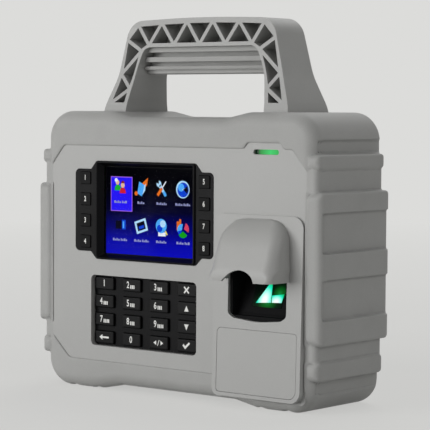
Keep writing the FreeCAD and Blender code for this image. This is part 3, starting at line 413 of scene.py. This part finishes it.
def apply_modifier(piece, kind, **settings):
    modifier = piece.modifiers.new("shape", kind)
    for name, value in settings.items():
        setattr(modifier, name, value)
    bpy.ops.object.modifier_apply(modifier="shape")


def cut_away(piece, cutter):
    activate(piece)
    apply_modifier(piece, "BOOLEAN", operation="DIFFERENCE", solver="EXACT", object=cutter)
    bpy.data.objects.remove(cutter)


def deepened(piece, pockets):
    """Deepens the side pockets; behind its front end each floor slopes down to the pocket's depth.
    A pocket is (outer surface, start, depth at the start, end of the slope, depth, bottom, top), in
    millimetres from the sleeve's middle, front and foot."""
    low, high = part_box("rubber_armour")
    middle, rear = (low.x + high.x) / 2, (high.y - low.y) / mm + 10
    for surface, start, deep, end, depth, bottom, top in pockets:
        outline = [(8, start), (-deep, start), (-depth, end), (-depth, rear), (8, rear)]
        for side in (-1, 1):
            cutter = cut_shape(
                "cutter", [[(side * (surface + across), along) for across, along in outline]], top - bottom,
                middle, low.y, low.z + (bottom + top) / 2 * mm, upright=False,
            )
            cut_away(piece, cutter)


def swollen(node, slot, grain, passes, share, pockets=()):
    """A soft rubber moulding: the node's shape remeshed at grain millimetres, its corners melted smooth, and
    its flat stretches then thinned out to that share of the faces."""
    piece = merged_copy(node)
    deepened(piece, pockets)
    apply_modifier(piece, "REMESH", mode="VOXEL", voxel_size=grain * mm)
    apply_modifier(piece, "SMOOTH", factor=0.5, iterations=passes)
    apply_modifier(piece, "DECIMATE", ratio=share)
    bpy.ops.object.shade_smooth()
    return keep(piece, finishes[slot], replaces=[node])


def grown_rim(piece, holes, depth, reach):
    """Moves the plate's rim outwards by reach, so that it runs under the sleeve's lip with no gap between.
    The rim is what faces sideways within depth of the plate's front, apart from the sides of those holes."""
    front = min(vertex.co.y for vertex in piece.data.vertices)
    boxes = [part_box(name) for name in holes]
    bpy.ops.object.mode_set(mode="EDIT")
    bpy.ops.mesh.select_mode(type="FACE")
    bpy.ops.mesh.select_all(action="DESELECT")
    bpy.ops.object.mode_set(mode="OBJECT")
    for face in piece.data.polygons:
        at = face.center
        inside = any(
            low.x - mm < at.x < high.x + mm and low.z - mm < at.z < high.z + mm for low, high in boxes
        )
        face.select = abs(face.normal.y) < 0.1 and at.y < front + depth and not inside
    bpy.ops.object.mode_set(mode="EDIT")
    bpy.ops.transform.shrink_fatten(value=reach, use_even_offset=True)
    bpy.ops.object.mode_set(mode="OBJECT")


def round_corners(piece, width, segments):
    """Rounds every corner sharper than 28 degrees by width millimetres."""
    apply_modifier(
        piece, "BEVEL", width=width * mm, segments=segments, limit_method="ANGLE",
        angle_limit=math.radians(28), miter_outer="MITER_ARC",
    )
    bpy.ops.object.shade_smooth_by_angle(angle=math.radians(35))


def softened(node, slot, width, segments=2, flat=0.6, rim_holes=()):
    """A moulding with rounded corners: the node's shape, merged, then bevelled."""
    piece = merged_copy(node, flat)
    if rim_holes:
        grown_rim(piece, rim_holes, 2.4 * mm, 0.7 * mm)
    round_corners(piece, width, segments)
    apply_modifier(piece, "WEIGHTED_NORMAL", keep_sharp=True)
    return keep(piece, finishes[slot], replaces=[node])


def disc(x, z, radius, count=20, start=0.0, turn=2 * math.pi):
    """Points of a disc, or of a pie slice where turn is less than a full one."""
    rim = [
        (x + radius * math.cos(start + turn * i / count), z + radius * math.sin(start + turn * i / count))
        for i in range(count + (turn < 2 * math.pi))
    ]
    return rim + ([(x, z)] if turn < 2 * math.pi else [])


def box(x0, z0, x1, z1):
    return [(x0, z0), (x1, z0), (x1, z1), (x0, z1)]


def turned(points, degrees):
    c, s = math.cos(math.radians(degrees)), math.sin(math.radians(degrees))
    return [(x * c - z * s, x * s + z * c) for x, z in points]


def stand(piece, x, y, z, upright=True):
    """Puts a flat shape at that place, facing the front or left lying, as a mesh with its origin at zero."""
    activate(piece)
    bpy.ops.object.convert(target="MESH")
    piece = bpy.context.object
    piece.rotation_euler = (math.pi / 2 if upright else 0, 0, 0)
    piece.location = (x, y, z)
    bpy.ops.object.transform_apply(location=True, rotation=True, scale=True)
    return piece


def cut_shape(name, outlines, thickness, x, y, z, upright=True):
    """A thin shape cut to closed outlines, in millimetres about its place; one inside another is a hole."""
    curve = bpy.data.curves.new(name, "CURVE")
    curve.dimensions = "2D"
    curve.fill_mode = "BOTH"
    curve.extrude = thickness * mm / 2
    for outline in outlines:
        spline = curve.splines.new("POLY")
        spline.points.add(len(outline) - 1)
        for point, (u, v) in zip(spline.points, outline):
            point.co = (u * mm, v * mm, 0, 1)
        spline.use_cyclic_u = True
    piece = bpy.data.objects.new(name, curve)
    bpy.context.scene.collection.objects.link(piece)
    return stand(piece, x, y, z, upright)


def cut_figure(name, figure, size, thickness, x, y, z):
    """A plain number as a thin shape, narrow and bold; size is its height in millimetres."""
    bpy.ops.object.select_all(action="DESELECT")
    bpy.ops.object.text_add()
    piece = bpy.context.object
    piece.name = name
    piece.data.body = figure
    piece.data.align_x, piece.data.align_y = "CENTER", "CENTER"
    piece.data.size = size * 1.38 * mm
    piece.data.offset = 0.022 * size * mm
    piece.data.resolution_u = 4
    piece.data.extrude = thickness * mm / 2
    piece.scale = (0.78, 1, 1)
    return stand(piece, x, y, z)


def joined(pieces, name):
    activate(pieces[0])
    for piece in pieces:
        piece.select_set(True)
    if len(pieces) > 1:
        bpy.ops.object.join()
    piece = bpy.context.object
    piece.name = name
    return piece


def grooved_grip():
    """The grip's ribbed liner, its grooves deep and dark between narrow ribs and its underside drawn in."""
    piece = merged_copy("handle_grip", 0.6)
    low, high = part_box("handle_grip")
    middle = (low.y + high.y) / 2
    for above, below, web in ((2.9, 5.7, 3.4), (8.7, 11.3, 3.2), (13.3, 17.0, 4.6)):
        for side in (-1, 1):
            bpy.ops.object.select_all(action="DESELECT")
            y = middle + side * (web + 6) * mm
            bpy.ops.mesh.primitive_cube_add(size=1, location=(0, y, high.z - (above + below) / 2 * mm))
            cutter = bpy.context.object
            cutter.scale = (high.x - low.x + 10 * mm, 12 * mm, (below - above) * mm)
            bpy.ops.object.transform_apply(location=True, rotation=True, scale=True)
            cut_away(piece, cutter)
    round_corners(piece, 0.7, 3)
    return keep(piece, finishes["grip_rubber"], replaces=["handle_grip"])


# ---------------------------------------------------------------- mouldings
swollen(
    "rubber_armour", "sleeve_rubber", 0.7, 1, 0.3,
    pockets=[
        (110, 2.8, 4.2, 7.0, 2.8, 91.2, 113.8), (110, 2.8, 4.2, 7.0, 2.8, 53.7, 76.2),
        (104, 6.0, 3.0, 8.5, 1.3, 147.0, 154.2), (104, 6.0, 3.0, 8.5, 1.3, 11.0, 18.8),
    ],
)
softened(
    "front_shell", "case_plastic", 0.4, flat=0.1,
    rim_holes=("display_bezel", "keypad_plate", "sensor_well", "light_pipe"),
)
softened("sensor_panel", "case_plastic", 0.8, segments=3)
softened("card_cover", "case_plastic", 0.25)
softened("handle_arch", "handle_plastic", 0.35, flat=0)
grooved_grip()
softened("display_bezel", "black_plastic", 0.4)
softened("rear_shell", "case_plastic", 0.3)
softened("battery_door", "case_plastic", 0.3)


# ---------------------------------------------------------------- marks on the keys
ink_film = 0.04  # millimetres, thick enough to show in relief


def cap_face(node):
    """The middle of a key's front face."""
    low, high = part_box(node)
    return (low.x + high.x) / 2, low.y - 0.01 * mm, (low.z + high.z) / 2


def key_mark(node, figure="", ticks=0, outlines=()):
    """White print on a cap: a number, upright ticks beside it where letters would be, or a plain sign."""
    x, y, z = cap_face(node)
    pieces = []
    if figure:
        shift = 2.6 if ticks else 0.2
        pieces.append(cut_figure(node + "_figure", figure, 4.1, ink_film, x - shift * mm, y, z))
    if ticks:
        marks = [box(0.2 + 1.25 * i, -2.0, 1.05 + 1.25 * i, 0.2) for i in range(ticks)]
        pieces.append(cut_shape(node + "_ticks", marks, ink_film, x - 0.9 * mm, y, z))
    if outlines:
        pieces.append(cut_shape(node + "_sign", outlines, ink_film, x, y, z))
    keep(joined(pieces, node + "_mark"), ink, node)


arrow = [(-4.2, 0), (-1.6, 1.7), (-1.6, 0.55), (3.6, 0.55), (3.6, -0.55), (-1.6, -0.55), (-1.6, -1.7)]
signs = {
    "cancel": [[
        (2.2, 1.5), (1.5, 2.2), (0, 0.7), (-1.5, 2.2), (-2.2, 1.5), (-0.7, 0), (-2.2, -1.5), (-1.5, -2.2),
        (0, -0.7), (1.5, -2.2), (2.2, -1.5), (0.7, 0),
    ]],
    "up": [[(-1.7, -1.7), (1.7, -1.7), (0, 1.8)]],
    "down": [[(-1.7, 1.7), (0, -1.8), (1.7, 1.7)]],
    "erase": [arrow],
    "shift": [
        [(-3.9, 0), (-1.7, 1.4), (-1.7, -1.4)], [(-0.9, -1.7), (-0.4, -1.7), (0.9, 1.7), (0.4, 1.7)],
        [(3.9, 0), (1.7, -1.4), (1.7, 1.4)],
    ],
    "enter": [[(-2.9, 0.1), (-2.0, 1.0), (-0.9, -0.2), (2.1, 2.3), (2.9, 1.4), (-0.9, -2.1)]],
}
ticks_beside = {"0": 0, "1": 0, "7": 4, "9": 4}  # the other figures have three
for key in "1 2 3 cancel 4 5 6 up 7 8 9 down erase 0 shift enter".split():  # row by row
    if key in signs:
        key_mark(f"key_{key}", outlines=signs[key])
    else:
        key_mark(f"key_{key}", figure=key, ticks=ticks_beside.get(key, 3))
for number in range(1, 9):
    node = f"function_key_{number}"
    mark = cut_figure(node + "_mark", str(number), 3.2, ink_film, *cap_face(node))
    keep(mark, ink, node)


# ---------------------------------------------------------------- sensor glass
def lit_facets():
    """The two facets of the prism that the lamp fills, as thin panes on its sloping front: brightest low
    down. Their corners are in millimetres from the prism's middle."""
    glow = prism_glow(
        "prism_facet_lit", [(0.0, "08c878"), (0.25, "24f0c8"), (0.5, "a8fff0"), (0.8, "fafffe")],
        [(-2.1, -6.193, 6.5, 9.5), (6.3, -6.793, 6.5, 5.0)], "06281a",
    )
    slope, outwards = math.radians(24), 1.35 * mm
    facets = {
        "prism_facet_left": [(-7.8, -8.593), (-1.8, 1.907), (0.7, 2.107), (2.8, -7.893)],
        "prism_facet_right": [(2.4, -3.993), (10.7, -2.793), (10.4, -7.593), (3.5, -7.893)],
    }
    for name, corners in facets.items():
        outline = [(x, z / math.cos(slope)) for x, z in corners]
        piece = cut_shape(name, [outline], 0.04, *prism)
        bpy.ops.object.mode_set(mode="EDIT")
        bpy.ops.mesh.select_all(action="SELECT")
        bpy.ops.transform.rotate(value=slope, orient_axis="X", center_override=prism)
        bpy.ops.transform.translate(value=(0, -outwards * math.cos(slope), outwards * math.sin(slope)))
        bpy.ops.object.mode_set(mode="OBJECT")
        keep(piece, glow)


lit_facets()


# ---------------------------------------------------------------- display
picture_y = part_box("lcd_module")[0].y - 0.06 * mm
picture_x = screen.x + 1.2 * mm  # the menu stands a little right of the window's middle
layer = 0.05 * mm


def display_cover():
    """Thin cover glass with a ground edge, standing clear of the picture behind it."""
    thickness = 0.6 * mm
    size = (screen_high.x - screen_low.x, thickness, screen_high.z - screen_low.z)
    middle = (screen.x, screen_low.y + thickness / 2, screen.z)
    bpy.ops.object.select_all(action="DESELECT")
    bpy.ops.mesh.primitive_cube_add(size=1, location=middle, scale=size)
    piece = bpy.context.object
    piece.name = "display_cover_glass"
    bpy.ops.object.transform_apply(location=True, rotation=True, scale=True)
    bpy.ops.object.mode_set(mode="EDIT")
    bpy.ops.mesh.select_all(action="SELECT")
    bpy.ops.mesh.bevel(offset=0.15 * mm, segments=2, affect="EDGES")
    bpy.ops.object.mode_set(mode="OBJECT")
    bpy.ops.object.shade_smooth_by_angle(angle=math.radians(30))
    return keep(piece, finishes["screen_glass"], replaces=["display_glass"])


def field(half_x, half_z):
    return box(-half_x, -half_z, half_x, half_z)


display_cover()
background = cut_shape(
    "screen_picture", [field(screen_half_x, screen_half_z)], 0.05, screen.x, picture_y, screen.z
)
keep(background, screen_picture())
border = cut_shape(
    "screen_border", [field(36.2, 27.8), field(35.0, 26.2)], 0.05, screen.x, picture_y - 0.03 * mm, screen.z
)
keep(border, finishes["well_plastic"])

glow = {
    "tile_blue": lit("lit_tile_blue", "2a1cff", "2014e8"),
    "tile_line": lit("lit_tile_line", "9a62e0"),
    "skin": lit("lit_skin", "f0c8a8", "c89478"),
    "hair": lit("lit_hair", "7a1c14"),
    "green": lit("lit_green", "20b838", "109020"),
    "red": lit("lit_red", "d8243a", "a81828"),
    "sky": lit("lit_sky", "58b8ff", "2a80e8"),
    "pale": lit("lit_pale", "bfe6ff", "88c0f0"),
    "deep": lit("lit_deep", "1048e0", "0830a8"),
    "orange": lit("lit_orange", "f07820", "c05010"),
    "white": lit("lit_white", "f4f8ff", "c8d0e8"),
    "dark": lit("lit_dark", "060618"),
    "label": lit("lit_label", "9a9ecc", "7a80b8"),
    "pink": lit("lit_pink", "e04868", "b83050"),
    "leaf": lit("lit_leaf", "18a820", "0c8014"),
    "straw": lit("lit_straw", "e8d858"),
}


def body_shape(x, z):
    """Head-and-shoulders bust outline under a head at x, z."""
    outline = [(-2.6, -4.6), (2.6, -4.6), (2.2, -2.4), (1.0, -1.2), (-1.0, -1.2), (-2.2, -2.4)]
    return [(x + u, z + v) for u, v in outline]


pictures = {
    "people": [
        ("green", [body_shape(-1.9, 2.6)]), ("skin", [disc(-2.1, 2.9, 1.5)]),
        ("white", [disc(-3.2, 4.2, 1.2)]),
        ("red", [body_shape(2.2, 0.9)]), ("skin", [disc(2.2, 1.2, 1.6)]),
        ("hair", [disc(2.4, 2.4, 1.5, 12, 0.0, math.pi)]),
    ],
    "folder": [
        ("orange", [[(0.2, -1.6), (4.6, 1.6), (5.4, 6.2), (1.0, 3.0)]]),
        ("sky", [[(-3.2, -3.4), (0.6, -5.0), (2.6, 1.8), (-1.6, 3.8)]]),
        ("pale", [[(0.9, -4.2), (3.2, -1.4), (3.6, 2.8), (2.4, 1.2)]]), ("orange", [disc(-4.0, -3.4, 1.3)]),
    ],
    "tools": [
        ("pale", [turned(box(-0.75, -5.0, 0.75, 2.6), 38), turned(disc(0, 3.6, 1.9, 14, 2.2, 5.0), 38)]),
        ("sky", [turned(box(-0.95, -5.4, 0.95, -2.2), 38)]),
        ("white", [turned(box(-0.35, 0.2, 0.35, 5.6), -38)]),
        ("orange", [turned(box(-0.95, -5.2, 0.95, 0.4), -38)]),
    ],
    "clock": [
        ("pale", [disc(0, 0, 5.2, 28), disc(0.2, -0.2, 4.4, 28)]), ("deep", [disc(0.2, -0.2, 4.3, 28)]),
        ("sky", [disc(-1.3, 1.2, 2.4, 18)]), ("pale", [turned(box(-0.3, -0.3, 0.3, 3.4), -70)]),
        ("dark", [[(0.4, 0), (3.6, 2.2), (4.2, -0.4), (3.4, -2.4)]]),
    ],
    "reader": [
        ("dark", [box(-3.6, -2.4, 1.2, 2.6)]), ("deep", [box(1.6, -2.6, 4.6, 3.2)]),
        ("sky", [box(2.2, -1.8, 3.4, 2.2)]),
    ],
    "frame": [
        ("pale", [turned(box(-4.6, -3.8, 4.6, 3.8), 17), turned(box(-3.2, -2.5, 3.2, 2.5), 17)]),
        ("dark", [turned(box(-3.1, -2.4, 3.1, 2.4), 17)]), ("deep", [turned(box(-2.0, -1.6, 2.2, 0.2), 17)]),
    ],
    "globe": [
        ("white", [box(-2.6, -5.4, 3.2, -3.0)]), ("sky", [disc(-0.3, 0.7, 4.3, 24)]),
        ("deep", [disc(-1.5, -0.8, 2.2, 16)]), ("pale", [disc(1.0, 2.0, 2.2, 16)]),
        ("straw", [turned(box(1.0, -6.2, 1.9, -3.4), 32)]),
    ],
    "chart": [
        ("orange", [box(-4.6, -1.2, -2.9, 4.0), box(-2.7, -0.2, -1.2, 5.4)]),
        ("sky", [disc(-0.5, -1.0, 3.6, 18, 1.4, 2.2)]),
        ("deep", [disc(-0.5, -1.0, 3.6, 14, 3.4, 1.0)]), ("pink", [disc(1.1, -0.4, 3.8, 16, -0.5, 1.7)]),
        ("leaf", [disc(0.3, -1.8, 3.9, 18, 3.7, 2.0)]),
    ],
}
icon_columns, icon_rows, label_rows = (-24.8, -7.7, 8.6, 25.1), (14.2, -8.7), (5.3, -17.5)
label_lengths = ((9.5, 6.0, 8.2, 11.5), (11.5, 11.0, 8.6, 9.6))


def tile():
    """Lit tile behind the chosen picture, with a thin line round it."""
    outer, inner = box(-32.4, -0.4, -14.9, 20.6), box(-31.9, 0.1, -15.4, 20.1)
    edge = cut_shape("tile_line", [outer, inner], 0.04, picture_x, picture_y - layer, screen.z)
    keep(edge, glow["tile_line"])
    middle = cut_shape("chosen_tile", [inner], 0.04, picture_x, picture_y - layer, screen.z)
    keep(middle, glow["tile_blue"])


def menu_picture(name, x, z):
    """One small picture, its parts laid over each other from the back."""
    pieces = []
    for depth, (colour, outlines) in enumerate(pictures[name]):
        y = picture_y - (1.6 + 0.5 * depth) * layer
        part = cut_shape(name, outlines, 0.02, picture_x + x * mm, y, screen.z + z * mm)
        part.data.materials.clear()
        part.data.materials.append(glow[colour])
        pieces.append(part)
    return keep(joined(pieces, f"menu_{name}"), None)


def menu_label(name, x, z, length):
    """A row of small blocks where a word would stand."""
    blocks, at, count = [], -length / 2, 0
    while at < length / 2 - 0.4:
        wide = 0.9 if count % 3 else 1.3
        tall = 0.75 if count % 2 else 1.15
        blocks.append(box(at, -0.75, at + wide, -0.75 + tall * 1.3))
        at += wide + (0.9 if count == 3 and length > 9 else 0.35)
        count += 1
    return cut_shape(name, blocks, 0.02, picture_x + x * mm, picture_y - 1.6 * layer, screen.z + z * mm)


tile()
for index, name in enumerate(pictures):
    row, column = divmod(index, 4)
    menu_picture(name, icon_columns[column], icon_rows[row])
    length = label_lengths[row][column]
    label = menu_label(f"menu_{name}_label", icon_columns[column], label_rows[row], length)
    keep(label, glow["label"])


# ---------------------------------------------------------------- floor
def make_floor():
    """Pale painted floor with a faint mottle, seen nearer to the backdrop's colour the further off it is, so
    that no horizon shows."""
    bpy.ops.object.select_all(action="DESELECT")
    bpy.ops.mesh.primitive_plane_add(size=8)
    floor = bpy.context.object
    floor.name = "floor"
    material, tree, place = start_material("painted_floor")
    mottle = add(tree, "TexNoise", {"Scale": 1 / (300 * mm), "Detail": 3.0}, {"Vector": place})
    colour = add(tree, "ValToRGB", links={0: mottle.outputs["Fac"]}, stops=[(0.3, "d2d2d0"), (0.7, "d8d8d6")])
    paint = add(tree, "BsdfDiffuse", links={"Color": colour.outputs["Color"]})
    glow = add(tree, "Emission", {"Color": linear("dcdcda")})
    away = add(tree, "VectorMath", links={0: place}, operation="LENGTH").outputs["Value"]
    share = add(tree, "MapRange", {"From Min": 0.2, "From Max": 1.8, "To Min": 0.7}, {"Value": away})
    share = add(tree, "Math", links={0: seen_directly(tree), 1: share.outputs[0]}, operation="MULTIPLY")
    mixed = add(tree, "MixShader", links={0: share.outputs[0], 1: paint.outputs[0], 2: glow.outputs[0]})
    add(tree, "OutputMaterial", links={"Surface": mixed.outputs[0]})
    floor.data.materials.append(material)


make_floor()
